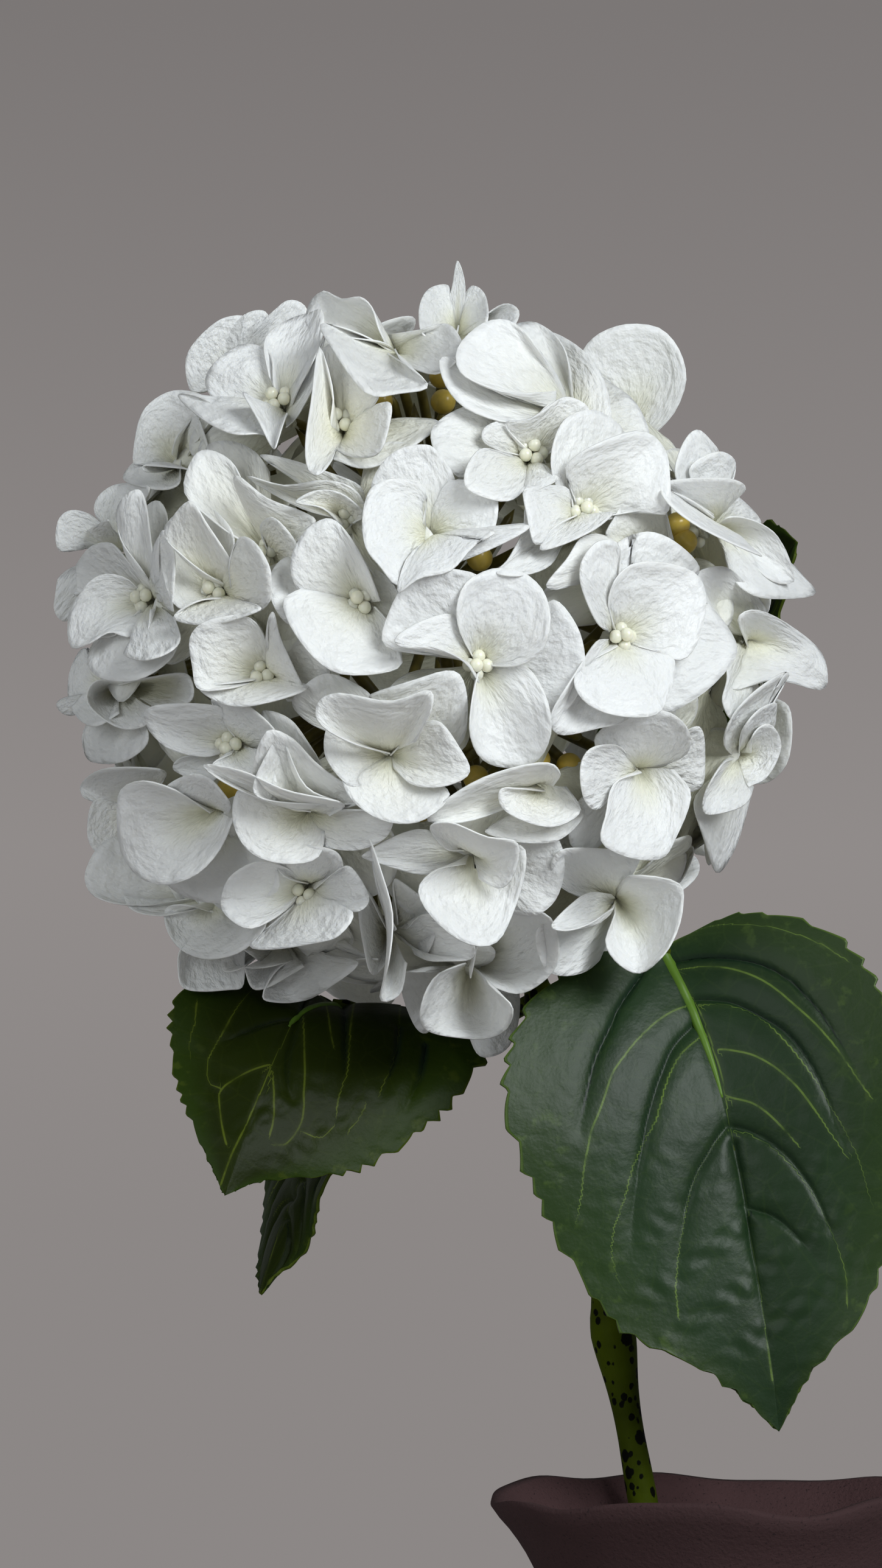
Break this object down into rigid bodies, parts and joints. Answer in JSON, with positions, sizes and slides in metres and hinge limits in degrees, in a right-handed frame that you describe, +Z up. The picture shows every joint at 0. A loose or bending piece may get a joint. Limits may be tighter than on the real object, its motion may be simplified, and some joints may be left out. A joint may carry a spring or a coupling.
{
  "type": "flower in a vase",
  "caption": "Artificial hydrangea stem with one round white flower head and serrated green leaves, standing in a flared matt stoneware vase.",
  "frame": {"origin": "centre of the vase's flat foot, on the surface that it stands on", "axes": "+Z up, +Y away from the viewer of the picture, +X to the viewer's right; the stem leans to the viewer's left (-X)"},
  "size_m": [0.2212, 0.2028, 0.496],
  "materials": {
    "stoneware": "unglazed matt mauve-brown stoneware with a fine even grain and a softly rounded, slightly wavy lip",
    "petal": "soft-touch moulded petals, ivory white with a faint green-cream tint at the middle, fine creases and a soft satin surface that lets light through; the cap of beads in the middle is pearly cream and glossy",
    "leaf": "satin dark green coated leaf with a raised quilted surface, sunk arching side veins and thin yellow-green printed veins, pale edge",
    "stem": "satin olive-green moulded stem with small dark speckles",
    "pedicel": "thin green-brown stalks with glossy ochre-yellow unopened buds"
  },
  "bodies": {
    "root": {"vase": "stoneware", "stem": "stem", "umbel": "pedicel", "leaf_back_right": "leaf", "leaf_left": "leaf", "leaf_left_hanging": "leaf", "leaf_right_front": "leaf", "floret_back_11": "petal", "floret_back_12": "petal", "floret_back_13": "petal", "floret_back_pair_01": "petal", "floret_back_pair_02": "petal", "floret_back_pair_03": "petal", "floret_back_pair_04": "petal", "floret_back_pair_05": "petal", "floret_back_pair_06": "petal", "floret_back_pair_07": "petal", "floret_back_pair_08": "petal", "floret_back_pair_09": "petal", "floret_back_pair_10": "petal", "floret_below_middle": "petal", "floret_bottom": "petal", "floret_bottom_far_left": "petal", "floret_bottom_inner": "petal", "floret_bottom_left": "petal", "floret_crown": "petal", "floret_crown_left": "petal", "floret_crown_right": "petal", "floret_far_left": "petal", "floret_far_left_low": "petal", "floret_far_left_rim": "petal", "floret_left": "petal", "floret_left_edge": "petal", "floret_left_inner": "petal", "floret_left_low": "petal", "floret_low_edge_right": "petal", "floret_low_inner_left": "petal", "floret_low_left": "petal", "floret_low_middle": "petal", "floret_low_right": "petal", "floret_lower_inner": "petal", "floret_lower_right": "petal", "floret_mid_left": "petal", "floret_middle": "petal", "floret_middle_left": "petal", "floret_middle_right": "petal", "floret_peak": "petal", "floret_right": "petal", "floret_right_inner": "petal", "floret_right_low": "petal", "floret_right_shoulder": "petal", "floret_shoulder_left": "petal", "floret_shoulder_right": "petal", "floret_top_inner": "petal", "floret_top_left": "petal", "floret_upper_inner": "petal", "floret_upper_mid_left": "petal", "floret_upper_middle": "petal", "floret_upper_right": "petal", "floret_upper_right_inner": "petal"}
  },
  "joints": []
}
